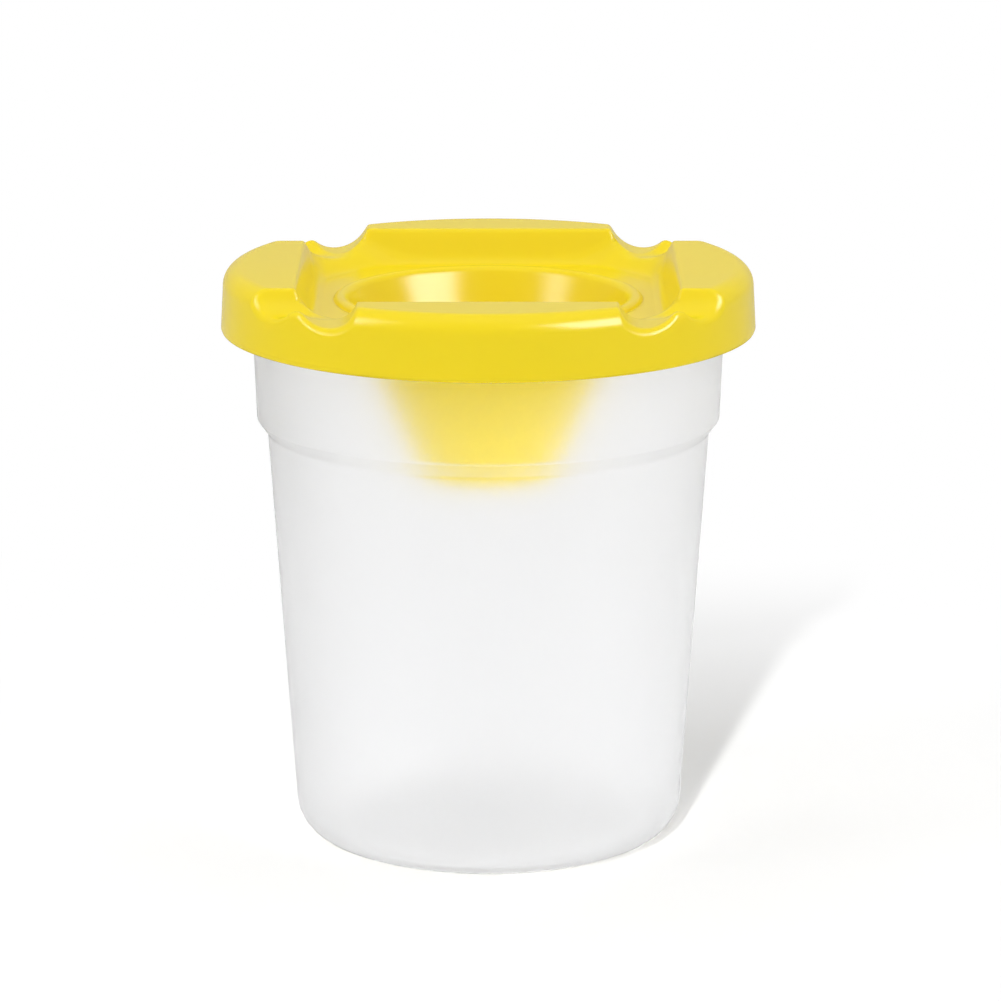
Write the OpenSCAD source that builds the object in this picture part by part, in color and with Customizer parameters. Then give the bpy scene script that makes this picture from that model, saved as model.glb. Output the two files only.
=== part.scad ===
// Brush washer: a clear cup with a push-on lid that carries a spill-proof funnel and brush rests.
// All sizes are in millimetres. The cup stands on z = 0 and the front faces -Y.

/* [Cup] */
// height of the cup from the foot to the top of its rim
cup_h = 88.8; // [75:0.1:105]
// radius that the straight wall would have at the very bottom
base_r = 31.05; // [28:0.05:33]
// how far the wall leans out for each millimetre of height
wall_lean = 0.0685; // [0.03:0.0005:0.085]
// radius of the round edge between base and wall
foot_round = 6; // [3:0.1:8]
// thickness of the cup wall
cup_wall = 1.2; // [0.8:0.1:2]
// thickness of the cup base
base_t = 1.4; // [1:0.1:2.5]
// width of the flat ring that the cup stands on
foot_ring_w = 4; // [3:0.1:6]
// height of the hollow under the middle of the base
foot_hollow = 0.8; // [0.3:0.1:1.5]

/* [Band and rim] */
// height where the wall starts to step out
shoulder_z = 67.2; // [55:0.1:70]
// height of the sloping step
shoulder_h = 2.3; // [1.5:0.1:6]
// how far the step carries the wall outwards
shoulder_out = 1.68; // [0.8:0.02:2.5]
// how far the band leans out for each millimetre of height
band_lean = 0.04; // [0:0.005:0.06]
// how far the rim turns out from the band
rim_out = 3.06; // [2.4:0.02:4.2]
// thickness of the out-turned rim
rim_t = 1.3; // [0.8:0.1:2]
// height of the turned-down edge of the rim
rim_drop = 2.6; // [1.8:0.1:3.4]

/* [Lid] */
// free space left between the lid and the cup on every side
lid_gap = 0.25; // [0.1:0.05:0.6]
// thickness of the lid skin
lid_wall = 1.3; // [1:0.1:1.6]
// height of the lid above the top of the cup rim
lid_rise = 5.3; // [4.6:0.1:8]
// how far the skirt hangs below the top of the cup rim
skirt_drop = 5; // [4:0.1:8]
// how far the skirt leans in towards the top
skirt_lean = 0.4; // [0:0.05:0.8]
// radius of the round outer edge along the top
edge_round = 3; // [2:0.1:4]
// how far each lobe reaches in from the foot of the skirt
lobe_depth = 12.8; // [11:0.1:14]
// half of the width of each lobe
lobe_half = 20.3; // [18:0.1:21]
// how far the inner side of each lobe leans for each millimetre of height
lobe_lean = 0.4; // [0:0.05:0.5]

/* [Bowl and brush rests] */
// depth of the bowl floor below the top
bowl_depth = 5.6; // [5.2:0.1:6.4]
// depth of the land between the lobes below the top
land_depth = 1.7; // [1.4:0.1:2.4]
// radius of the flat floor of the bowl
floor_r = 32; // [31:0.1:32.5]
// rise angle of the bowl side
bowl_slope = 37; // [34:1:42]
// radius of the two soft bends of the bowl side
bowl_round = 3; // [2:0.1:4]
// how far the foot of each lobe runs on under the brush rests
lobe_root = 2; // [1.5:0.1:2.5]
// depth of each brush rest below the top
rest_depth = 3.6; // [3:0.1:3.8]

/* [Funnel and plug] */
// radius of the funnel mouth along the middle of its lip
mouth_r = 23.6; // [20:0.1:24]
// outside radius of the bend that makes the rounded lip
lip_r = 1.5; // [1.3:0.05:2.2]
// height of the lip above the bowl floor
lip_h = 0.75; // [0.5:0.05:1]
// inside radius at the lower end of the funnel
end_r = 9.4; // [6:0.1:14]
// length of the funnel below the bowl floor
funnel_len = 28.8; // [20:0.1:40]
// thickness of the funnel wall
funnel_wall = 1.2; // [0.8:0.1:1.4]
// depth that the plug ring reaches into the cup
plug_drop = 4.2; // [3:0.1:4.6]
// thickness of the plug ring
plug_t = 1.3; // [1:0.1:1.5]
// width of the seat that rests on the cup rim
seat_w = 1.7; // [1.2:0.1:2.4]

/* [Hidden] */
$fn = 96;
cup_color = [0.93, 0.93, 0.92];
lid_color = [0.92, 0.8, 0.12];
steps = 8;
rest_margin = 0.15;

// cup profile: each radius and height below belongs to the outside of the wall
wall_angle = atan(wall_lean);
foot_r = base_r + wall_lean * foot_round - foot_round / cos(wall_angle);
shoulder_r = base_r + wall_lean * shoulder_z;
band_r = shoulder_r + shoulder_out;
band_z = shoulder_z + shoulder_h;
mouth_out = band_r + band_lean * (cup_h - band_z);
mouth_in = mouth_out - cup_wall;
rim_r = mouth_out + rim_out;
inner_round = max(foot_round - cup_wall, 0.5);

// lid profile: it is built outwards from the cup rim, so that the leaning skirt clears it
// each brush rest is a circle through the top corner of a lobe end and its own lowest point
top_z = cup_h + lid_rise;
skirt_z = cup_h - skirt_drop;
skirt_in = skirt_lean * (skirt_drop + 1) / (lid_rise - edge_round + skirt_drop + 1);
lid_r = rim_r + lid_gap + skirt_in + lid_wall;
lobe_in = lid_r - lobe_depth;
rest_half = (lobe_in - lobe_half) / 2 - rest_margin;
rest_x = lobe_half + rest_half;
rest_r = (rest_half * rest_half + rest_depth * rest_depth) / (2 * rest_depth);
plug_r = mouth_in - lid_gap - band_lean * plug_drop;
floor_z = top_z - bowl_depth;
land_r = floor_r + (bowl_depth - land_depth) / tan(bowl_slope);
funnel_z = floor_z - funnel_len;
lip_z = floor_z + lip_h - lip_r;
lip_x = end_r - mouth_r;
lip_y = funnel_z - lip_z;
lip_turn = atan2(lip_y, lip_x) + 360 - acos(lip_r / norm([lip_x, lip_y]));
cone_side = funnel_wall / sin(lip_turn - 90);

// points along an arc about (x, z), from angle a0 to angle a1
function arc(x, z, r, a0, a1) = [
    for (i = [0 : steps])
        let (a = a0 + (a1 - a0) * i / steps)
        [x + r * cos(a), z + r * sin(a)]
];

// outside of the cup as half a section, filled to the axis
module cupOutside() {
    turned = rim_r - rim_t * 0.9;
    polygon(concat(
        [[0, 0]],
        arc(foot_r, foot_round, foot_round, -90, -wall_angle),
        [[shoulder_r, shoulder_z], [band_r, band_z]],
        [[mouth_out - band_lean * rim_t, cup_h - rim_t], [turned, cup_h - rim_t]],
        [[turned, cup_h - rim_drop], [rim_r, cup_h - rim_drop]],
        arc(rim_r - 0.5, cup_h - 0.5, 0.5, 0, 90),
        [[0, cup_h]]
    ));
}

// inside of the cup as half a section, open at the top
module cupInside() {
    polygon(concat(
        [[0, base_t + foot_hollow]],
        [[foot_r - foot_ring_w, base_t + foot_hollow], [foot_r - foot_ring_w + foot_hollow * 2, base_t]],
        arc(foot_r, base_t + inner_round, inner_round, -90, -wall_angle),
        [[shoulder_r - cup_wall, shoulder_z], [band_r - cup_wall, band_z]],
        [[mouth_in, cup_h], [mouth_in, cup_h + 1], [0, cup_h + 1]]
    ));
}

// translucent cup with its foot ring, stepped band and out-turned rim
module cup() {
    color(cup_color)
    rotate_extrude()
    difference() {
        cupOutside();
        cupInside();
        polygon([
            [0, -1], [foot_r - foot_ring_w, -1], [foot_r - foot_ring_w, 0],
            [foot_r - foot_ring_w - foot_hollow, foot_hollow], [0, foot_hollow]
        ]);
    }
}

// round body of the lid before the bowl is cut, shrunk by t on the outside
module lidBlank(t) {
    rise = top_z - edge_round;
    low = skirt_z - (t > 0 ? 1 : 0);
    rotate_extrude()
    polygon(concat(
        [[0, low], [lid_r - t, low]],
        arc(lid_r - skirt_lean - edge_round, rise, edge_round - t, 0, 90),
        [[0, top_z - t]]
    ));
}

// space above the bowl, dropped by t, as half a section
module bowlSpace(t) {
    shift = t * tan(bowl_slope / 2);
    bend = bowl_round * tan(bowl_slope / 2);
    low_x = floor_r - bend;
    high_x = land_r + bend;
    rotate_extrude()
    polygon(concat(
        [[0, floor_z - t]],
        arc(low_x, floor_z + bowl_round, bowl_round + t, -90, bowl_slope - 90),
        arc(high_x, top_z - land_depth - bowl_round, bowl_round - t, bowl_slope + 90, 90),
        [[lid_r + 6, top_z - land_depth - t], [lid_r + 6, top_z + 8], [0, top_z + 8]]
    ));
}

// one pair of brush rests, grown by t, running front to back
module restPair(t) {
    for (side = [-1, 1])
        translate([side * rest_x, 0, top_z - rest_depth + rest_r])
        rotate([90, 0, 0])
        cylinder(h = 2 * lid_r + 12, r = rest_r + t, center = true);
}

// blocks with a leaning inner side that keep the lobes standing in the bowl, shrunk by t
module lobeBlocks(t) {
    face = lobe_in + t * sqrt(1 + lobe_lean * lobe_lean);
    low = top_z - skirt_z + 5;
    for (turn = [0 : 90 : 270])
        rotate([0, 0, turn])
        rotate([90, 0, 90])
        linear_extrude(height = 2 * (lobe_half + lobe_root - t), center = true)
        polygon([
            [face - lobe_lean * low, top_z - low], [lid_r + 10, top_z - low],
            [lid_r + 10, top_z + 15], [face + lobe_lean * 15, top_z + 15]
        ]);
}

// whole space above the lid skin, grown by t: the rests cut the bowl, and they shape the ends of the lobes
module topSpace(t) {
    union() {
        difference() {
            bowlSpace(t);
            lobeBlocks(t);
        }
        restPair(t);
        rotate([0, 0, 90]) restPair(t);
    }
}

// lid as a solid block, shrunk by t on every side
module lidBlock(t) {
    difference() {
        lidBlank(t);
        topSpace(t);
    }
}

// plug ring that enters the cup and the seat that rests on its rim
module plugAndSeat() {
    rotate_extrude()
    polygon([
        [plug_r - plug_t, cup_h - plug_drop], [plug_r, cup_h - plug_drop], [plug_r, cup_h],
        [plug_r + seat_w, cup_h], [plug_r + seat_w, top_z + 2], [plug_r - plug_t, top_z + 2]
    ]);
}

// point at distance r from the middle of the lip's bend, in direction a
function lipPoint(r, a) = [mouth_r + r * cos(a), lip_z + r * sin(a)];

// cone that drops into the cup, touching the bend that rolls over into the bowl floor
module funnel() {
    far = lip_r * 3;
    rotate_extrude()
    union() {
        polygon([
            [end_r, funnel_z], [end_r + cone_side, funnel_z],
            lipPoint(lip_r - funnel_wall, lip_turn), lipPoint(lip_r, lip_turn)
        ]);
        difference() {
            translate([mouth_r, lip_z]) circle(r = lip_r);
            translate([mouth_r, lip_z]) circle(r = lip_r - funnel_wall);
            polygon([
                lipPoint(0, 0), lipPoint(far, lip_turn + 3), lipPoint(far * 1.4, 225),
                lipPoint(far * 1.4, 315), lipPoint(far, 0)
            ]);
        }
    }
}

// lid with its lobes, brush rests, bowl and funnel
module lid() {
    color(lid_color)
    union() {
        difference() {
            lidBlock(0);
            difference() {
                lidBlock(lid_wall);
                plugAndSeat();
            }
            cylinder(h = top_z + 5, r = mouth_r + lip_r - funnel_wall / 2);
        }
        funnel();
    }
}

cup();
lid();
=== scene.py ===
import bpy
import math
import numpy as np
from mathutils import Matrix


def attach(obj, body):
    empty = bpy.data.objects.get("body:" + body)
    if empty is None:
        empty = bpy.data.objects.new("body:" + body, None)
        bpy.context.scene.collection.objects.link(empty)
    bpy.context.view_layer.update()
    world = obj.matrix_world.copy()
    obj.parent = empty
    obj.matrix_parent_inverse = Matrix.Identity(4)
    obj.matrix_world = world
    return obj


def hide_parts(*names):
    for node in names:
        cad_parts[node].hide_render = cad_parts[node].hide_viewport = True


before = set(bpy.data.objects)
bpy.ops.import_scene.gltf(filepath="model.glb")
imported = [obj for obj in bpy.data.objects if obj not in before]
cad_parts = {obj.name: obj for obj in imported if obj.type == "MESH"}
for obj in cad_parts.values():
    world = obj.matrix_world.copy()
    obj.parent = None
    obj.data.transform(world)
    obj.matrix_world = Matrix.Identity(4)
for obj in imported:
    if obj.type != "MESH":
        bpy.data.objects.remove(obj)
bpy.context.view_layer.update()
mm = 0.001
print("frame loaded, pieces:", sorted(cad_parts))

# camera: millimetres for lens and sensor, metres for places, degrees for the pitch
viewFacts = {
    "lens": 183.1, "sensor": 36.0, "distance": 0.8265, "pitch": 13.7,
    "aimHeight": 0.055, "sideStep": 0.00196, "clipEnd": 50.0,
}
# lamps and floor: metres, degrees of turn from the front and of rise above the floor, and watts, which are
# per square metre for the suns
lightFacts = {
    "sunTurn": -10.0, "sunRise": 27.5, "sunSpread": 2.0, "sunPower": 0.37, "floorSunPower": 5.3,
    "skyLevel": 0.74, "skyShine": 0.5,
    "boxTurns": (-68.0, 57.0), "boxRise": 33.0, "boxPower": 1.5, "boxDistance": 1.0,
    "boxAim": 0.085, "boxHeight": 0.6, "boxWidths": (0.3, 0.7), "cardPowers": (10.0, 32.0),
    "topPower": 4.6, "topSide": 0.9, "topHeight": 1.2,
    "floorHalf": 6.0, "floorTone": 0.5, "floorLift": 0.03, "bounceTone": 0.55, "shineTone": 0.3,
    "fadeRange": (0.03, 0.18),
}


def placeCamera():
    # the camera looks at the point aimHeight up and sideStep beside the cup's axis, from the distance times
    # the cosine of the pitch in front of it and times the sine above it
    pitch = math.radians(viewFacts["pitch"])
    away = viewFacts["distance"]
    camData = bpy.data.cameras.new("photoCamera")
    camData.lens = viewFacts["lens"]
    camData.sensor_width = viewFacts["sensor"]
    camData.clip_end = viewFacts["clipEnd"]
    cam = bpy.data.objects.new("photoCamera", camData)
    bpy.context.scene.collection.objects.link(cam)
    height = viewFacts["aimHeight"] + away * math.sin(pitch)
    cam.location = (viewFacts["sideStep"], -away * math.cos(pitch), height)
    cam.rotation_euler = (math.radians(90) - pitch, 0.0, 0.0)
    bpy.context.scene.camera = cam


def mathOf(nodes, links, kind, a, b):
    # one value made of two others: the greater one, or their product
    node = nodes.new("ShaderNodeMath")
    node.operation = kind
    links.new(a, node.inputs[0])
    links.new(b, node.inputs[1])
    return node.outputs[0]


def mixOf(nodes, links, share, first, second):
    # the first shader times one minus the share, plus the second times the share
    mix = nodes.new("ShaderNodeMixShader")
    links.new(share, mix.inputs[0])
    links.new(first, mix.inputs[1])
    links.new(second, mix.inputs[2])
    return mix.outputs[0]


def seenDirectly(nodes, links):
    # 1 for what the camera sees straight or through the clear cup, and 0 for light on the object
    path = nodes.new("ShaderNodeLightPath")
    return mathOf(nodes, links, "MAXIMUM", path.outputs["Is Camera Ray"], path.outputs["Is Transmission Ray"])


def addLamp(name, kind, power, place, turn):
    # a lamp that shines straight down until it is turned
    lampData = bpy.data.lights.new(name, kind)
    lampData.energy = power
    lamp = bpy.data.objects.new(name, lampData)
    bpy.context.scene.collection.objects.link(lamp)
    lamp.location = place
    lamp.rotation_euler = turn
    return lamp


def placeLamps():
    # a low sun from the front left, a soft box on each side and a wide panel above; where each box stands
    # there is a card that only shows as a reflection, and the floor sun only draws the shadow; a box stands
    # its distance times the cosine of the rise out along its turn, and times the sine above the lid
    facts = lightFacts
    turn = (math.radians(90 - facts["sunRise"]), 0.0, math.radians(facts["sunTurn"]))
    for name, power in (("frontSun", facts["sunPower"]), ("floorSun", facts["floorSunPower"])):
        sun = addLamp(name, "SUN", power, (0.0, 0.0, 1.0), turn)
        sun.data.angle = math.radians(facts["sunSpread"])
        sun.visible_glossy = False
    rise, away = math.radians(facts["boxRise"]), facts["boxDistance"]
    out, up = away * math.cos(rise), facts["boxAim"] + away * math.sin(rise)
    for degrees, cardPower, width in zip(facts["boxTurns"], facts["cardPowers"], facts["boxWidths"]):
        side = math.radians(degrees)
        place = (out * math.sin(side), -out * math.cos(side), up)
        for name, power in (("softBox", facts["boxPower"]), ("shineCard", cardPower)):
            panel = addLamp(name, "AREA", power, place, (math.radians(90) - rise, 0.0, side))
            panel.data.shape = "RECTANGLE"
            panel.data.size, panel.data.size_y = width, facts["boxHeight"]
            panel.visible_glossy = name == "shineCard"
            panel.visible_diffuse = name == "softBox"
            panel.visible_transmission = name == "softBox"
    top = addLamp("topPanel", "AREA", facts["topPower"], (0.0, 0.0, facts["topHeight"]), (0.0, 0.0, 0.0))
    top.data.size = facts["topSide"]
    top.visible_glossy = False


def placeSky():
    # an even pale sky: full white where it is seen, skyShine in reflections and skyLevel as light
    facts = lightFacts
    world = bpy.data.worlds.new("paleStudio")
    bpy.context.scene.world = world
    world.use_nodes = True
    nodes, links = world.node_tree.nodes, world.node_tree.links
    nodes.clear()
    out = nodes.new("ShaderNodeOutputWorld")
    sky = nodes.new("ShaderNodeBackground")
    path = nodes.new("ShaderNodeLightPath")
    level = nodes.new("ShaderNodeMix")
    level.inputs["A"].default_value = facts["skyLevel"]
    level.inputs["B"].default_value = facts["skyShine"]
    links.new(path.outputs["Is Glossy Ray"], level.inputs["Factor"])
    links.new(level.outputs[0], sky.inputs["Strength"])
    seen = nodes.new("ShaderNodeBackground")
    for shade in (sky, seen):
        shade.inputs["Color"].default_value = (1, 1, 1, 1)
    mix = mixOf(nodes, links, seenDirectly(nodes, links), sky.outputs[0], seen.outputs[0])
    links.new(mix, out.inputs[0])
    bpy.context.scene.view_settings.view_transform = "Standard"


def placeFloor():
    # where the floor is seen it is lifted paper near the cup, and a smooth step along Y turns it plain white
    # behind the cup, which thins the shadow out; through the cup it is plain white as well, and the object
    # takes its light from bounceTone and its reflections from shineTone
    half = lightFacts["floorHalf"]
    corners = [(-half, -half, 0), (half, -half, 0), (half, half, 0), (-half, half, 0)]
    mesh = bpy.data.meshes.new("floor")
    mesh.from_pydata(corners, [], [(0, 1, 2, 3)])
    floor = bpy.data.objects.new("floor", mesh)
    bpy.context.scene.collection.objects.link(floor)
    mat = bpy.data.materials.new("whiteFloor")
    mat.use_nodes = True
    nodes, links = mat.node_tree.nodes, mat.node_tree.links
    nodes.clear()
    out = nodes.new("ShaderNodeOutputMaterial")
    paper = nodes.new("ShaderNodeBsdfDiffuse")
    paper.inputs["Color"].default_value = (lightFacts["floorTone"],) * 3 + (1,)
    bounce = nodes.new("ShaderNodeBsdfDiffuse")
    tone = nodes.new("ShaderNodeMix")
    tone.inputs["A"].default_value = lightFacts["bounceTone"]
    tone.inputs["B"].default_value = lightFacts["shineTone"]
    links.new(tone.outputs[0], bounce.inputs["Color"])
    lift = nodes.new("ShaderNodeEmission")
    lift.inputs["Strength"].default_value = lightFacts["floorLift"]
    lifted = nodes.new("ShaderNodeAddShader")
    links.new(paper.outputs[0], lifted.inputs[0])
    links.new(lift.outputs[0], lifted.inputs[1])
    glow = nodes.new("ShaderNodeEmission")
    coord = nodes.new("ShaderNodeTexCoord")
    split = nodes.new("ShaderNodeSeparateXYZ")
    links.new(coord.outputs["Object"], split.inputs[0])
    fade = nodes.new("ShaderNodeMapRange")
    fade.interpolation_type = "SMOOTHSTEP"
    fade.inputs["From Min"].default_value, fade.inputs["From Max"].default_value = lightFacts["fadeRange"]
    links.new(split.outputs["Y"], fade.inputs["Value"])
    path = nodes.new("ShaderNodeLightPath")
    links.new(path.outputs["Is Glossy Ray"], tone.inputs["Factor"])
    plain = mathOf(nodes, links, "MAXIMUM", fade.outputs[0], path.outputs["Is Transmission Ray"])
    seen = mixOf(nodes, links, plain, lifted.outputs[0], glow.outputs[0])
    mix = mixOf(nodes, links, seenDirectly(nodes, links), bounce.outputs[0], seen)
    links.new(mix, out.inputs[0])
    mesh.materials.append(mat)
    onlyFloor = bpy.data.collections.new("onlyFloor")
    onlyFloor.objects.link(floor)
    bpy.data.objects["floorSun"].light_linking.receiver_collection = onlyFloor


placeCamera()
placeLamps()
placeSky()
placeFloor()
print("camera, light and floor are in place")


def gridMesh(name, x, y, z, closeRows, caps=False):
    # rows run along the section and columns run round the axis, so point number = row * columns + column;
    # columns always close on themselves, rows do where asked, and caps fan the first and last row to a hub
    rows, cols = x.shape
    points = np.stack([x, y, z], axis=-1).reshape(-1, 3) * mm
    r = np.arange(rows if closeRows else rows - 1)
    c = np.arange(cols)
    rr, cc = np.meshgrid(r, c, indexing="ij")
    nr, nc = (rr + 1) % rows, (cc + 1) % cols
    quads = np.stack([rr * cols + cc, rr * cols + nc, nr * cols + nc, nr * cols + cc], axis=-1).reshape(-1, 4)
    fans = []
    for base, order in ((0, -1), ((rows - 1) * cols, 1)) if caps else ():
        ring = (base + c, base + (c + 1) % cols)[::order]
        fans.append(np.stack([np.full(cols, len(points)), *ring], axis=-1))
        points = np.vstack([points, points[base:base + cols].mean(axis=0)[None]])
    loops = quads.reshape(-1)
    starts = np.arange(len(quads)) * 4
    sizes = np.full(len(quads), 4)
    for fan in fans:
        starts = np.concatenate([starts, len(loops) + np.arange(len(fan)) * 3])
        sizes = np.concatenate([sizes, np.full(len(fan), 3)])
        loops = np.concatenate([loops, fan.reshape(-1)])
    mesh = bpy.data.meshes.new(name)
    mesh.vertices.add(len(points))
    mesh.vertices.foreach_set("co", points.astype(np.float32).reshape(-1))
    mesh.loops.add(len(loops))
    mesh.loops.foreach_set("vertex_index", loops.astype(np.int32))
    mesh.polygons.add(len(starts))
    mesh.polygons.foreach_set("loop_start", starts.astype(np.int32))
    mesh.polygons.foreach_set("loop_total", sizes.astype(np.int32))
    mesh.update(calc_edges=True)
    mesh.validate()
    mesh.shade_smooth()
    return mesh


def addPiece(mesh, body, material):
    # a piece that moves with its body and shows the given material
    piece = bpy.data.objects.new(mesh.name, mesh)
    bpy.context.scene.collection.objects.link(piece)
    mesh.materials.append(material)
    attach(piece, body)
    return piece


def roundedLine(corners, spacing=1.2, steps=7, flatter=0.01):
    # a section given by its corners (radius, height, rounding): each corner becomes an arc that touches both
    # sides, and its ends lie at the rounding over the tangent of half the corner's angle from the corner;
    # a corner flatter than the given angle stays as it is
    pts = np.array([c[:2] for c in corners], float)
    line = [pts[:1]]
    for i in range(1, len(corners) - 1):
        before, here, after = pts[i - 1], pts[i], pts[i + 1]
        a = (before - here) / np.linalg.norm(before - here)
        b = (after - here) / np.linalg.norm(after - here)
        half = 0.5 * math.acos(np.clip(np.dot(a, b), -1, 1))
        r = corners[i][2]
        if r <= 0 or half > math.pi / 2 - flatter:
            line.append(here[None])
            continue
        reach = r / math.tan(half)
        middle = (a + b) / np.linalg.norm(a + b) * (r / math.sin(half)) + here
        start, end = here + a * reach - middle, here + b * reach - middle
        a0, a1 = math.atan2(start[1], start[0]), math.atan2(end[1], end[0])
        turn = (a1 - a0 + math.pi) % (2 * math.pi) - math.pi
        ang = a0 + turn * np.linspace(0, 1, steps)
        line.append(middle + r * np.stack([np.cos(ang), np.sin(ang)], axis=-1))
    line.append(pts[-1:])
    rough = np.vstack(line)
    out = [rough[:1]]
    for p, q in zip(rough[:-1], rough[1:]):
        n = max(1, int(np.linalg.norm(q - p) / spacing))
        out.append(p + (q - p) * (np.arange(1, n + 1) / n)[:, None])
    return np.vstack(out)


def turned(radii, heights, angle):
    # a section carried round the axis at the given angles: the radius times the cosine and the sine of each
    r, z = np.asarray(radii, float)[:, None], np.asarray(heights, float)[:, None]
    return r * np.cos(angle), r * np.sin(angle), np.repeat(z, len(angle), axis=1)


def newGroup(name, inputs, outputs):
    # an empty node group with its sockets, each given by name and kind
    group = bpy.data.node_groups.new(name, "ShaderNodeTree")
    for way, sockets in (("INPUT", inputs), ("OUTPUT", outputs)):
        for label, kind in sockets.items():
            group.interface.new_socket(label, in_out=way, socket_type="NodeSocket" + kind)
    return group, group.nodes, group.links


# noise of the moulded skin: scales per metre, and the part of the drift that changes the roughness
mouldFacts = {
    "grainDetail": 3.0, "streakScale": 420.0, "streakDetail": 2.0, "streakSquash": 0.03,
    "driftScale": 28.0, "driftDetail": 2.0, "driftSpan": (0.3, 0.7),
}


def mouldGroup():
    # the height mixes fine grain with flow streaks that run up and down the wall, and the roughness follows
    # a slow drift from its low to its high value
    facts = mouldFacts
    group, nodes, links = newGroup(
        "mouldedPlastic",
        dict.fromkeys(("Roughness Low", "Roughness High", "Grain Scale", "Streak Share"), "Float"),
        {"Roughness": "Float", "Height": "Float", "Drift": "Float"})
    into = nodes.new("NodeGroupInput")
    out = nodes.new("NodeGroupOutput")
    coord = nodes.new("ShaderNodeTexCoord")
    grain = nodes.new("ShaderNodeTexNoise")
    grain.inputs["Detail"].default_value = facts["grainDetail"]
    links.new(coord.outputs["Object"], grain.inputs["Vector"])
    links.new(into.outputs["Grain Scale"], grain.inputs["Scale"])
    stretch = nodes.new("ShaderNodeMapping")
    stretch.inputs["Scale"].default_value = (1.0, 1.0, facts["streakSquash"])
    links.new(coord.outputs["Object"], stretch.inputs["Vector"])
    streak = nodes.new("ShaderNodeTexNoise")
    streak.inputs["Scale"].default_value = facts["streakScale"]
    streak.inputs["Detail"].default_value = facts["streakDetail"]
    links.new(stretch.outputs[0], streak.inputs["Vector"])
    height = nodes.new("ShaderNodeMix")
    links.new(into.outputs["Streak Share"], height.inputs["Factor"])
    links.new(grain.outputs[0], height.inputs["A"])
    links.new(streak.outputs[0], height.inputs["B"])
    drift = nodes.new("ShaderNodeTexNoise")
    drift.inputs["Scale"].default_value = facts["driftScale"]
    drift.inputs["Detail"].default_value = facts["driftDetail"]
    links.new(coord.outputs["Object"], drift.inputs["Vector"])
    rough = nodes.new("ShaderNodeMapRange")
    rough.inputs["From Min"].default_value, rough.inputs["From Max"].default_value = facts["driftSpan"]
    links.new(drift.outputs[0], rough.inputs["Value"])
    links.new(into.outputs["Roughness Low"], rough.inputs["To Min"])
    links.new(into.outputs["Roughness High"], rough.inputs["To Max"])
    links.new(rough.outputs[0], out.inputs["Roughness"])
    links.new(height.outputs[0], out.inputs["Height"])
    links.new(drift.outputs[0], out.inputs["Drift"])
    return group


def paintedGlowGroup():
    # painted glow, an emission colour that stands in for light coming through a thin wall: the colour times
    # three tests, each 1 or 0, of whether the face looks away from the axis, lies below Top and lies within
    # Reach of the axis
    group, nodes, links = newGroup(
        "paintedFunnelGlow", {"Colour": "Color", "Top": "Float", "Reach": "Float"}, {"Colour": "Color"})
    into = nodes.new("NodeGroupInput")
    out = nodes.new("NodeGroupOutput")
    coord = nodes.new("ShaderNodeTexCoord")
    flat = nodes.new("ShaderNodeVectorMath")
    flat.operation = "MULTIPLY"
    flat.inputs[1].default_value = (1, 1, 0)
    links.new(coord.outputs["Object"], flat.inputs[0])
    length = nodes.new("ShaderNodeVectorMath")
    length.operation = "LENGTH"
    links.new(flat.outputs[0], length.inputs[0])
    facing = nodes.new("ShaderNodeVectorMath")
    facing.operation = "DOT_PRODUCT"
    links.new(flat.outputs[0], facing.inputs[0])
    links.new(coord.outputs["Normal"], facing.inputs[1])
    split = nodes.new("ShaderNodeSeparateXYZ")
    links.new(coord.outputs["Object"], split.inputs[0])
    tests = []
    for kind, value, limit in (
        ("GREATER_THAN", facing.outputs["Value"], None),
        ("LESS_THAN", split.outputs["Z"], "Top"),
        ("LESS_THAN", length.outputs["Value"], "Reach"),
    ):
        test = nodes.new("ShaderNodeMath")
        test.operation = kind
        test.inputs[1].default_value = 0.0
        links.new(value, test.inputs[0])
        if limit:
            links.new(into.outputs[limit], test.inputs[1])
        tests.append(test.outputs[0])
    share = tests[0]
    for test in tests[1:]:
        share = mathOf(nodes, links, "MULTIPLY", share, test)
    tint = nodes.new("ShaderNodeMix")
    tint.data_type = "RGBA"
    tint.inputs["A"].default_value = (0, 0, 0, 1)
    links.new(share, tint.inputs["Factor"])
    links.new(into.outputs["Colour"], tint.inputs["B"])
    links.new(tint.outputs["Result"], out.inputs["Colour"])
    return group


mould = mouldGroup()
paintedGlowTree = paintedGlowGroup()


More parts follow.
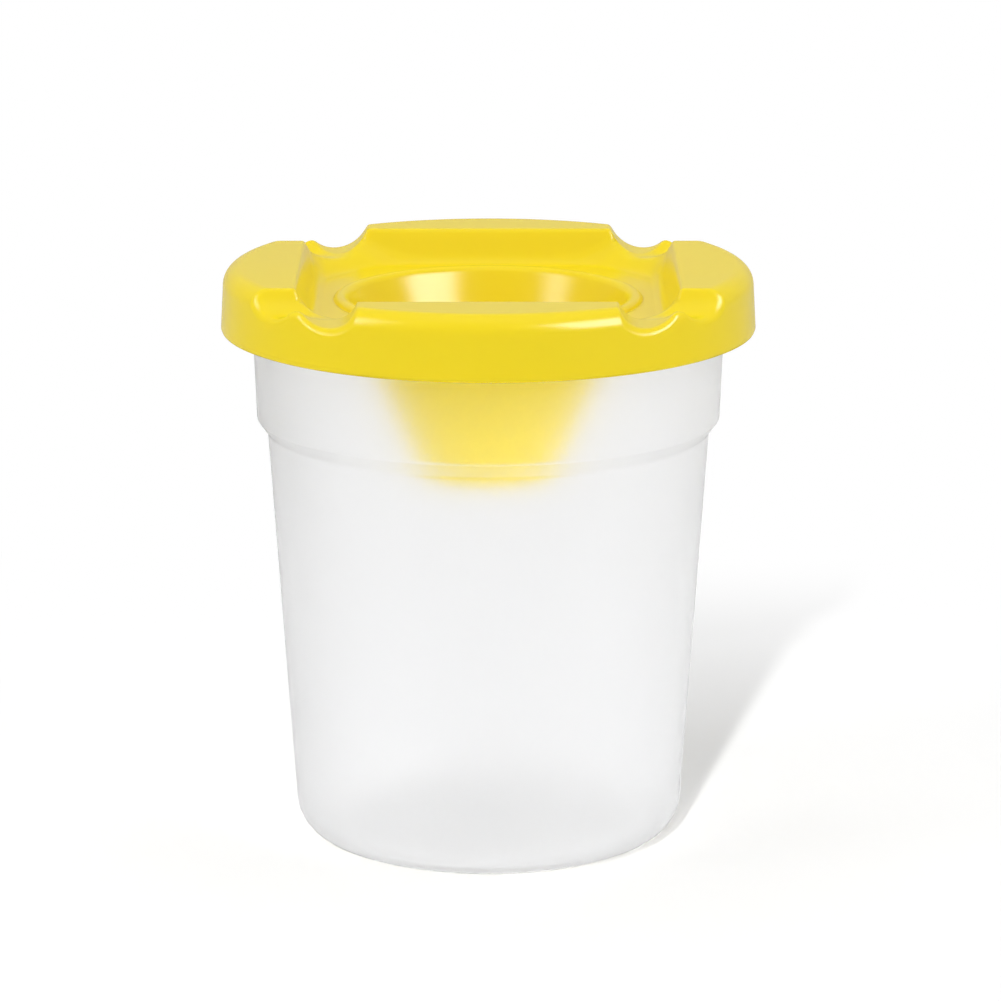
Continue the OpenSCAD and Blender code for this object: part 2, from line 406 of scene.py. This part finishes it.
def plasticMaterial(name, facts):
    # the drift picks a tone between the two colours, and the height lifts the surface by up to grainDepth
    # times bump; a clear plastic lets the share "passes" of the lamp light through at each of its faces
    mat = bpy.data.materials.new(name)
    mat.use_nodes = True
    nodes, links = mat.node_tree.nodes, mat.node_tree.links
    shader = nodes["Principled BSDF"]
    shader.inputs["IOR"].default_value = facts["ior"]
    shader.inputs["Transmission Weight"].default_value = facts["transmission"]
    shader.inputs["Subsurface Weight"].default_value = facts["subsurface"]
    shader.inputs["Subsurface Radius"].default_value = facts["reach"]
    shader.inputs["Subsurface Scale"].default_value = mm
    shader.inputs["Coat Weight"].default_value = facts["coat"]
    shader.inputs["Coat Roughness"].default_value = facts["coatRoughness"]
    skin = nodes.new("ShaderNodeGroup")
    skin.node_tree = mould
    skin.inputs["Roughness Low"].default_value = facts["roughness"][0]
    skin.inputs["Roughness High"].default_value = facts["roughness"][1]
    skin.inputs["Grain Scale"].default_value = facts["grainScale"]
    skin.inputs["Streak Share"].default_value = facts["streaks"]
    tone = nodes.new("ShaderNodeMix")
    tone.data_type = "RGBA"
    tone.inputs["A"].default_value = (*facts["colours"][0], 1)
    tone.inputs["B"].default_value = (*facts["colours"][1], 1)
    links.new(skin.outputs["Drift"], tone.inputs["Factor"])
    links.new(tone.outputs["Result"], shader.inputs["Base Color"])
    links.new(skin.outputs["Roughness"], shader.inputs["Roughness"])
    bump = nodes.new("ShaderNodeBump")
    bump.inputs["Strength"].default_value = facts["bump"]
    bump.inputs["Distance"].default_value = facts["grainDepth"]
    links.new(skin.outputs["Height"], bump.inputs["Height"])
    links.new(bump.outputs[0], shader.inputs["Normal"])
    # painted glow: an emission on the funnel's outer faces that stands in for light coming through the wall
    if "glow" in facts:
        shader.inputs["Emission Color"].default_value = (0, 0, 0, 1)
        shader.inputs["Emission Strength"].default_value = 1.0
        paintedGlowNode = nodes.new("ShaderNodeGroup")
        paintedGlowNode.node_tree = paintedGlowTree
        paintedGlowNode.inputs["Colour"].default_value = (*facts["glow"], 1)
        paintedGlowNode.inputs["Top"].default_value = facts["glowTop"]
        paintedGlowNode.inputs["Reach"].default_value = facts["glowReach"]
        links.new(paintedGlowNode.outputs["Colour"], shader.inputs["Emission Color"])
    if facts["passes"] > 0:
        path = nodes.new("ShaderNodeLightPath")
        clear = nodes.new("ShaderNodeBsdfTransparent")
        clear.inputs["Color"].default_value = (facts["passes"],) * 3 + (1,)
        mix = mixOf(nodes, links, path.outputs["Is Shadow Ray"], shader.outputs[0], clear.outputs[0])
        links.new(mix, nodes["Material Output"].inputs["Surface"])
    return mat


# colours are linear, reach is in millimetres, grainDepth in metres, grainScale per metre, and passes is the
# share of light that gets through one face
cupFinish = {
    "colours": [(0.93, 0.931, 0.935), (0.95, 0.951, 0.954)],
    "roughness": (0.38, 0.44),
    "ior": 1.22,
    "transmission": 0.97,
    "subsurface": 0.0,
    "reach": (1.0, 1.0, 1.0),
    "coat": 0.05,
    "coatRoughness": 0.1,
    "grainScale": 900.0,
    "grainDepth": 0.0001,
    "streaks": 0.6,
    "bump": 0.25,
    "passes": 0.64,
}
# glow is painted light, an emission colour that stands in for light coming through the funnel wall, on faces
# below the top height and within the reach, in metres
lidFinish = {
    "colours": [(0.75, 0.578, 0.008), (0.775, 0.598, 0.01)],
    "roughness": (0.2, 0.25),
    "ior": 1.33,
    "transmission": 0.0,
    "subsurface": 0.15,
    "reach": (3.0, 2.2, 0.3),
    "coat": 0.0,
    "coatRoughness": 0.1,
    "grainScale": 700.0,
    "grainDepth": 0.0001,
    "streaks": 0.15,
    "bump": 0.08,
    "passes": 0.0,
    "glow": (0.18, 0.16, 0.01),
    "glowTop": 0.0868,
    "glowReach": 0.0245,
}
frostedPlastic = plasticMaterial("frostedPlastic", cupFinish)
glossyYellow = plasticMaterial("glossyYellow", lidFinish)
print("materials are made")

# cup in millimetres: lean is the step out per millimetre of height, each ...Soft is a rounding, and a pair of
# them is for the lower and the upper bend of the step
cupShape = {
    "height": 88.8, "baseR": 31.05, "lean": 0.0685, "footRound": 6.0, "wall": 1.2, "base": 1.4,
    "ringW": 4.0, "hollow": 0.8, "shoulderZ": 67.2, "shoulderH": 2.3, "shoulderOut": 1.68, "bandLean": 0.04,
    "rimOut": 3.06, "rimT": 1.3, "rimEdgeT": 1.17, "rimDrop": 2.6, "hubR": 0.6, "columns": 256,
    "hollowSoft": 0.4, "rimSoft": 0.3, "rimTopSoft": 0.5, "mouthSoft": 0.4, "floorSoft": 0.6,
    "stepSofts": (1.6, 0.45), "innerStepSofts": (0.9, 1.2),
}


def buildCup():
    # the section runs from the middle of the base out and up the outside, over the rim and down the inside,
    # and is then turned round the axis; the wall's radius is the base radius plus the lean times the height
    s = cupShape
    wallAngle = math.atan(s["lean"])
    footR = s["baseR"] + s["lean"] * s["footRound"] - s["footRound"] / math.cos(wallAngle)
    ringR = footR - s["ringW"]
    shoulderR = s["baseR"] + s["lean"] * s["shoulderZ"]
    bandR, bandZ = shoulderR + s["shoulderOut"], s["shoulderZ"] + s["shoulderH"]
    mouthR = bandR + s["bandLean"] * (s["height"] - bandZ)
    rimR = mouthR + s["rimOut"]
    w, h, drop = s["wall"], s["height"], s["height"] - s["rimDrop"]
    under, edgeR = h - s["rimT"], rimR - s["rimEdgeT"]
    corners = [
        (s["hubR"], s["hollow"], 0),
        (ringR - s["hollow"], s["hollow"], s["hollowSoft"]),
        (ringR, 0, s["rimSoft"]),
        (s["baseR"], 0, s["footRound"]),
        (shoulderR, s["shoulderZ"], s["stepSofts"][0]),
        (bandR, bandZ, s["stepSofts"][1]),
        (mouthR - s["bandLean"] * s["rimT"], under, s["rimTopSoft"]),
        (edgeR, under, s["rimSoft"]),
        (edgeR, drop, s["rimSoft"]),
        (rimR, drop, s["rimSoft"]),
        (rimR, h, s["rimTopSoft"]),
        (mouthR - w, h, s["mouthSoft"]),
        (bandR - w, bandZ, s["innerStepSofts"][1]),
        (shoulderR - w, s["shoulderZ"], s["innerStepSofts"][0]),
        (s["baseR"] + s["lean"] * s["base"] - w, s["base"], s["footRound"] - w),
        (ringR + 2 * s["hollow"], s["base"], s["floorSoft"]),
        (ringR, s["base"] + s["hollow"], s["floorSoft"]),
        (s["hubR"], s["base"] + s["hollow"], 0),
    ]
    turn = np.linspace(0, 2 * math.pi, s["columns"], endpoint=False)
    return gridMesh("cupShell", *turned(*roundedLine(corners).T, turn), False, caps=True)


cup = addPiece(buildCup(), "cup", frostedPlastic)
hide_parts("cup")
print("cup is built")

# lid in millimetres, slope in degrees and lipTuck in radians: each ...Soft and ...Edge is a rounding
lidShape = {
    "topZ": 94.1, "skirtZ": 83.8, "footR": 43.0, "lean": 0.4, "edgeRound": 3.0, "wall": 1.3,
    "lobeIn": 30.2, "lobeHalf": 20.3, "lobeRoot": 2.0, "lobeLean": 0.4, "restHalf": 4.8, "restDepth": 3.6,
    "bowlDepth": 5.6, "landDepth": 1.7, "floorR": 32.0, "slope": 37.0, "bend": 3.0,
    "mouthR": 23.6, "lipR": 1.5, "lipH": 0.75, "lipTuck": 0.06, "endR": 9.4, "tipSoft": 0.6,
    "funnelLen": 28.8, "funnelWall": 1.2,
    "footSoft": 1.5, "restEdge": 0.5, "lobeEdge": 0.45, "rimEdge": 1.2, "edgeFrom": 0.8, "edgeOver": 2.2,
    "cornerSoft": 0.6, "underSoft": 0.35, "steepFrom": 1.0, "steepOver": 6.0, "steepShare": 0.85,
    "skirtSoft": 0.5, "skirtBevel": 0.15, "skirtInSoft": 0.3, "skirtInBevel": 0.06,
    "plugR": 36.49, "plugT": 1.3, "plugDrop": 4.2, "plugEdge": 0.3, "seatW": 1.7, "seatZ": 88.8,
    "seatEdge": 0.2, "seatCorner": 0.1, "sealBury": 0.65, "sealColumns": 384, "sealTests": 5,
}
# rows and columns of one eighth of the skin, and the small distances that set rows close to an edge
lidGrid = {
    "columns": (20, 20, 20), "cornerShare": 1.4, "lipGap": 0.1,
    "bowlRows": 21, "footRows": (-1.2, -0.9, -0.6, -0.35, -0.15),
    "climbRows": 9, "climbStep": 0.5, "lobeRise": 1.2, "crestRows": (0.1, 0.22, 0.38, 0.6), "crestShare": 0.8,
    "topRows": 12, "topEase": 1.5, "edgeRows": 15, "edgeIn": 0.6, "belowEdge": 1.6,
    "straightRows": 9, "footGap": 0.45, "lipRows": 16, "coneRows": 12, "tipRows": 7,
    "bendRows": 8, "bendEnd": 0.2, "joinOut": 0.3, "joinUp": 0.02,
}
restX = lidShape["lobeHalf"] + lidShape["restHalf"]
restR = (lidShape["restHalf"] ** 2 + lidShape["restDepth"] ** 2) / (2 * lidShape["restDepth"])
restZ = lidShape["topZ"] - lidShape["restDepth"] + restR


def roundMeet(a, b, k):
    # the space inside both a and b, with the edge between them rounded to radius k: the greater of the two,
    # and within k of the edge the length of the two parts beyond -k, less k
    return np.minimum(-k, np.maximum(a, b)) + np.hypot(np.maximum(k + a, 0), np.maximum(k + b, 0))


def roundJoin(a, b, k):
    # the space inside either a or b, with the corner between them filled to radius k: the lesser of the two,
    # and within k of the corner k less the length of the two parts that fall short of it
    return np.maximum(k, np.minimum(a, b)) - np.hypot(np.maximum(k - a, 0), np.maximum(k - b, 0))


def bowlHeight(r, t):
    # height of the bowl at radius r: flat floor, an arc up, a straight slope, an arc over and the flat land,
    # all dropped by t; an arc lies below or above its middle by the root of its radius squared less the
    # offset squared
    s, least = lidShape, 1e-9
    slope = math.radians(s["slope"])
    floorZ, landZ = s["topZ"] - s["bowlDepth"], s["topZ"] - s["landDepth"]
    landR = s["floorR"] + (s["bowlDepth"] - s["landDepth"]) / math.tan(slope)
    reach = s["bend"] * math.tan(slope / 2)
    lowX, highX = s["floorR"] - reach, landR + reach
    lowR, highR = s["bend"] + t, s["bend"] - t
    x1, x2 = lowX + lowR * math.sin(slope), highX - highR * math.sin(slope)
    z1 = floorZ + s["bend"] - lowR * math.cos(slope)
    arcUp = floorZ + s["bend"] - np.sqrt(np.maximum(lowR ** 2 - (r - lowX) ** 2, least))
    arcOver = landZ - s["bend"] + np.sqrt(np.maximum(highR ** 2 - (r - highX) ** 2, least))
    climb = z1 + (r - x1) * math.tan(slope)
    return np.select([r < lowX, r < x1, r < x2, r < highX], [floorZ - t, arcUp, climb, arcOver], landZ - t)


def restHeight(c, t):
    # height of a brush rest at distance c from the lid's middle line: the lower half of a circle whose radius
    # is grown by t, and far above the lid beside it
    farUp = 1e3
    off = np.minimum(np.abs(np.abs(c) - restX), restR + t)
    return np.where(off < restR + t, restZ - np.sqrt((restR + t) ** 2 - off ** 2), farUp)


def skinHeight(x, y, t, standing):
    # height of the skin: the top where a lobe stands and the bowl elsewhere, cut down by the brush rests
    body = np.where(standing, lidShape["topZ"] - t, bowlHeight(np.hypot(x, y), t))
    return np.minimum(body, np.minimum(restHeight(x, t), restHeight(y, t)))


def lobeSpace(x, y, z, t):
    # inside one of the four blocks: within the half width across and beyond the inner face, which stands at
    # lobeIn from the axis at the top and lobeLean nearer for each millimetre down
    s = lidShape
    ax, ay = np.abs(x), np.abs(y)
    half = s["lobeHalf"] + s["lobeRoot"] - t
    slant = math.hypot(1, s["lobeLean"])
    face = s["lobeIn"] + t * slant - s["lobeLean"] * (s["topZ"] - z)
    front = roundMeet(ax - half, (face - ay) / slant, s["cornerSoft"])
    side = roundMeet(ay - half, (face - ax) / slant, s["cornerSoft"])
    return np.minimum(front, side)


def outlineR(z, t):
    # radius of the outside at a height: the leaning skirt, then the quarter round, which lies beyond its
    # middle by the root of the round squared less the rise squared
    s = lidShape
    riseZ = s["topZ"] - s["edgeRound"]
    skirt = s["footR"] - t - s["lean"] * (z - s["skirtZ"]) / (riseZ - s["skirtZ"])
    er = s["edgeRound"] - t
    middle = s["footR"] - s["lean"] - s["edgeRound"]
    arc = middle + np.sqrt(np.maximum(er ** 2 - np.maximum(z - riseZ, 0) ** 2, 0))
    return np.where(z > riseZ, arc, skirt)


def blankSpace(x, y, z, t):
    # inside the round blank: under the top, inside the quarter round and inside the leaning skirt
    s = lidShape
    r = np.hypot(x, y)
    riseZ = s["topZ"] - s["edgeRound"]
    cx = s["footR"] - s["lean"] - s["edgeRound"]
    upper = np.where(r < cx, z - (s["topZ"] - t), np.hypot(r - cx, z - riseZ) - (s["edgeRound"] - t))
    side = r - outlineR(np.minimum(z, riseZ), t)
    return np.where(z > riseZ, upper, np.maximum(side, z - (s["topZ"] - t)))


def skinSpace(x, y, z, t):
    # the whole lid body: bowl or lobe, less the brush rests, inside the blank; the bowl's side counts for
    # steepShare, and the outer edge goes smoothly from lobeEdge to rimEdge over edgeOver below edgeFrom
    s = lidShape
    outer = t == 0
    footSoft = s["footSoft"] if outer else s["underSoft"]
    restSoft = s["restEdge"] if outer else s["underSoft"]
    r = np.hypot(x, y)
    onSlope = (r > s["floorR"] - s["steepFrom"]) & (r < s["floorR"] + s["steepOver"])
    steep = np.where(onSlope, s["steepShare"], 1.0)
    body = roundJoin((z - bowlHeight(r, t)) * steep, lobeSpace(x, y, z, t), footSoft)
    down = np.minimum(z - restZ, 0)
    for along in (np.abs(x), np.abs(y)):
        body = roundMeet(body, restR + t - np.hypot(along - restX, down), restSoft)
    mix = np.clip((s["topZ"] - s["edgeFrom"] - z) / s["edgeOver"], 0, 1)
    mix = mix * mix * (3 - 2 * mix)
    edge = s["lobeEdge"] + (s["rimEdge"] - s["lobeEdge"]) * mix if outer else s["underSoft"]
    return roundMeet(body, blankSpace(x, y, z, t), edge)


def settle(x, y, z, t, rounds=8, h=0.004, farthest=0.6, flattest=0.25):
    # each point slides until it lies on the skin: each round moves it against the space's slope, by the
    # space's value over the slope's square; the slope is taken over h on both sides
    for _ in range(rounds):
        f = skinSpace(x, y, z, t)
        gx = (skinSpace(x + h, y, z, t) - skinSpace(x - h, y, z, t)) / (2 * h)
        gy = (skinSpace(x, y + h, z, t) - skinSpace(x, y - h, z, t)) / (2 * h)
        gz = (skinSpace(x, y, z + h, t) - skinSpace(x, y, z - h, t)) / (2 * h)
        step = np.clip(f, -farthest, farthest) / np.maximum(gx ** 2 + gy ** 2 + gz ** 2, flattest)
        x, y, z = x - step * gx, y - step * gy, z - step * gz
    return x, y, z


def skinGrid(t):
    # one eighth of the skin on a grid: columns fan out from the mouth and turn square along the lobe, and
    # rows cross the bowl, climb the lobe's inner face, cross the top and follow the outside down to the skirt
    s, g = lidShape, lidGrid
    half, chord = s["lobeHalf"] + s["lobeRoot"] - t, s["lobeIn"] + t * math.hypot(1, s["lobeLean"])
    cornerR = math.hypot(half, chord)
    diag = cornerR / math.sqrt(2)
    fine = s["lobeHalf"] - g["cornerShare"] - t
    flat, corner, beside = g["columns"]
    chordU = np.concatenate([
        np.linspace(0, fine, flat), np.linspace(fine, half, corner)[1:], np.linspace(half, diag, beside)[1:]])
    widen = (s["footR"] / math.sqrt(2) - half) / (diag - half)
    outerU = np.where(chordU > half, half + (chordU - half) * widen, chordU)
    chordV = np.where(chordU <= half, chord, np.sqrt(np.maximum(cornerR ** 2 - chordU ** 2, 0)))
    chordR = np.hypot(chordU, chordV)
    standing = chordU <= half
    startR = s["mouthR"] + s["lipR"] - g["lipGap"]
    rows = []

    def across(r):
        # a point at radius r: on the ray through the column's place at the lobe, then fanning out beyond it
        fan = chordU + (outerU - chordU) * np.clip((r - chordR) / (s["footR"] - chordR), 0, 1)
        u = np.where(r < chordR, r * chordU / chordR, fan)
        return u, np.sqrt(np.maximum(r ** 2 - u ** 2, 0))

    def inward(r):
        u, v = across(r)
        return u, v, skinHeight(u, v, t, False)

    def outward(r):
        u, v = across(r)
        return u, v, skinHeight(u, v, t, standing)

    low, high = inward(chordR)[2], outward(chordR)[2]
    tall = np.clip((high - low) / g["lobeRise"], 0, 1)
    footR = chordR - tall * s["lobeLean"] * (s["topZ"] - low) * chordV / chordR
    for k in np.linspace(0, 1, g["bowlRows"])[:-1]:
        rows.append(inward(startR + (footR + g["footRows"][0] - startR) * k))
    for off in g["footRows"]:
        rows.append(inward(footR + off))
    for k in np.linspace(0, 1, g["climbRows"])[1:-1]:
        r = footR + (chordR - footR) * k + (1 - tall) * g["climbStep"] * k
        u, v = across(r)
        climb = low + (high - low) * k
        rows.append((u, v, tall * climb + (1 - tall) * np.minimum(skinHeight(u, v, t, standing), climb)))
    for off in g["crestRows"]:
        beyond = chordR + g["climbStep"] + off * g["crestShare"]
        rows.append(outward(tall * np.hypot(chordU, chordV + off) + (1 - tall) * beyond))
    firstR = np.hypot(rows[-1][0], rows[-1][1])
    riseZ, er = s["topZ"] - s["edgeRound"], s["edgeRound"] - t
    edgeZ = np.minimum(outward(np.full(len(chordU), s["footR"] - t - g["edgeIn"]))[2], s["topZ"] - t)
    edgeR = outlineR(edgeZ, t)
    for k in np.linspace(0, 1, g["topRows"])[1:]:
        u, v, z = outward(firstR + (edgeR - firstR) * (1 - (1 - k) ** g["topEase"]))
        rows.append((u, v, np.minimum(z, s["topZ"] - t)))
    start = np.where(edgeZ > riseZ, er * np.arcsin(np.clip((edgeZ - riseZ) / er, 0, 1)), edgeZ - riseZ)
    for k in np.linspace(0, 1, g["edgeRows"])[1:]:
        path = start + (-g["belowEdge"] - start) * k
        z = riseZ + np.where(path > 0, er * np.sin(path / er), path)
        u, v, _ = outward(outlineR(z, t))
        rows.append((u, v, z))
    for k in np.linspace(0, 1, g["straightRows"])[1:]:
        z = riseZ - g["belowEdge"] + (s["skirtZ"] + g["footGap"] - riseZ + g["belowEdge"]) * k + 0 * chordU
        u, v, _ = outward(outlineR(z, t))
        rows.append((u, v, z))
    return [np.array([row[i] for row in rows]) for i in range(3)]


def allRound(u, v, z):
    # the eighth is copied to all four lobes, each with its mirror image, going once round the axis
    parts = []
    for q in range(4):
        cosQ, sinQ = (1, 0, -1, 0)[q], (0, 1, 0, -1)[q]
        for flip in (False, True):
            a, b = (v, u) if not flip else (u[:, ::-1], v[:, ::-1])
            zz = z if not flip else z[:, ::-1]
            x, y = a * cosQ - b * sinQ, a * sinQ + b * cosQ
            parts.append((x[:, :-1], y[:, :-1], zz[:, :-1]))
    return [np.concatenate([p[i] for p in parts], axis=1) for i in range(3)]


def buildLid():
    # one closed loop of rows: skirt, top, bowl, lip, funnel inside, funnel outside, and back under the skin;
    # the cone touches the lip's bend at a half turn, plus the slope of the line from the bend's middle to the
    # end, less the angle whose cosine is the bend's radius over that line
    s, g = lidShape, lidGrid
    top = allRound(*skinGrid(0.0))
    top = settle(*top, 0.0)
    under = allRound(*skinGrid(s["wall"]))
    under = settle(*under, s["wall"])
    angle = np.arctan2(top[1][0], top[0][0])
    floorZ = s["topZ"] - s["bowlDepth"]
    funnelZ, lipZ = floorZ - s["funnelLen"], floorZ + s["lipH"] - s["lipR"]
    down, back = lipZ - funnelZ, s["mouthR"] - s["endR"]
    touch = math.pi + math.atan2(down, back) - math.acos(s["lipR"] / math.hypot(down, back))
    lean = math.tan(math.pi - touch)
    side = s["funnelWall"] * math.hypot(1, lean)
    bend = np.linspace(math.asin(1 - s["lipH"] / s["lipR"]) - s["lipTuck"], touch, g["lipRows"])
    lipR, lipH = s["mouthR"] + s["lipR"] * np.cos(bend), lipZ + s["lipR"] * np.sin(bend)
    tip = s["tipSoft"]
    inZ = np.linspace(lipH[-1], funnelZ + tip, g["coneRows"])[1:]
    inR = s["endR"] + lean * (inZ - funnelZ)
    a = np.radians(np.linspace(0, 180, g["tipRows"] + 2))[1:-1]
    tipR, tipZ = s["endR"] + side / 2 - side / 2 * np.cos(a), funnelZ + tip - tip * np.sin(a)
    inner = s["lipR"] - s["funnelWall"]
    bend = np.linspace(touch, g["bendEnd"], g["bendRows"])
    underR, underZ = s["mouthR"] + inner * np.cos(bend), lipZ + inner * np.sin(bend)
    outZ = np.linspace(funnelZ + tip, underZ[0], g["coneRows"])[:-1]
    outR = s["endR"] + side + lean * (outZ - funnelZ)
    joinR, joinZ = [s["mouthR"] + inner + g["joinOut"]], [floorZ - s["wall"] + g["joinUp"]]
    radii, heights = [lipR, inR, tipR, outR, underR, joinR], [lipH, inZ, tipZ, outZ, underZ, joinZ]
    middle = turned(np.concatenate(radii), np.concatenate(heights), angle)
    lowR = outlineR(np.array([s["skirtZ"]]), 0)[0]
    lowIn, low, up = lowR - s["wall"], s["skirtZ"], s["skirtZ"] + s["skirtBevel"]
    footIn = [lowIn + s["skirtInBevel"], lowIn + s["skirtInSoft"]]
    footOut = [lowR - s["skirtSoft"], lowR - s["skirtBevel"]]
    foot = turned(footIn + footOut, [up, low, low, up], angle)
    rows = [np.concatenate([top[i][::-1], middle[i], under[i], foot[i]], axis=0) for i in range(3)]
    return gridMesh("lidShell", *rows, True)


def buildSealRings():
    # the plug ring and the seat as one section carried round; its top edge lies sealBury below the lowest
    # skin at the tested radii above it, which is inside the lid's wall
    s = lidShape
    turn = np.linspace(0, 2 * math.pi, s["sealColumns"], endpoint=False)
    radii = np.linspace(s["plugR"] - s["plugT"], s["plugR"] + s["seatW"], s["sealTests"])[:, None]
    x, y = radii * np.cos(turn), radii * np.sin(turn)
    standing = lobeSpace(x, y, s["topZ"] - s["wall"], 0) < -s["wall"]
    high = skinHeight(x, y, 0, standing).min(axis=0) - s["sealBury"]
    inR, plugR, seatR = s["plugR"] - s["plugT"], s["plugR"], s["plugR"] + s["seatW"]
    low, seat, e = s["seatZ"] - s["plugDrop"], s["seatZ"], s["plugEdge"]
    radius = [inR, inR, inR + e, plugR - e, plugR, plugR, plugR, seatR - s["seatEdge"], seatR, seatR]
    foot = [high, low + e, low, low, low + e]
    rise = [seat - s["seatCorner"], seat, seat, seat + s["seatEdge"], high]
    x = np.array([r * np.cos(turn) for r in radius])
    y = np.array([r * np.sin(turn) for r in radius])
    z = np.array([np.broadcast_to(h, turn.shape) for h in foot + rise])
    return gridMesh("lidSealRings", x, y, z, True)


lid = addPiece(buildLid(), "lid", glossyYellow)
addPiece(buildSealRings(), "lid", glossyYellow)
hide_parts("lid")
print("lid is built")
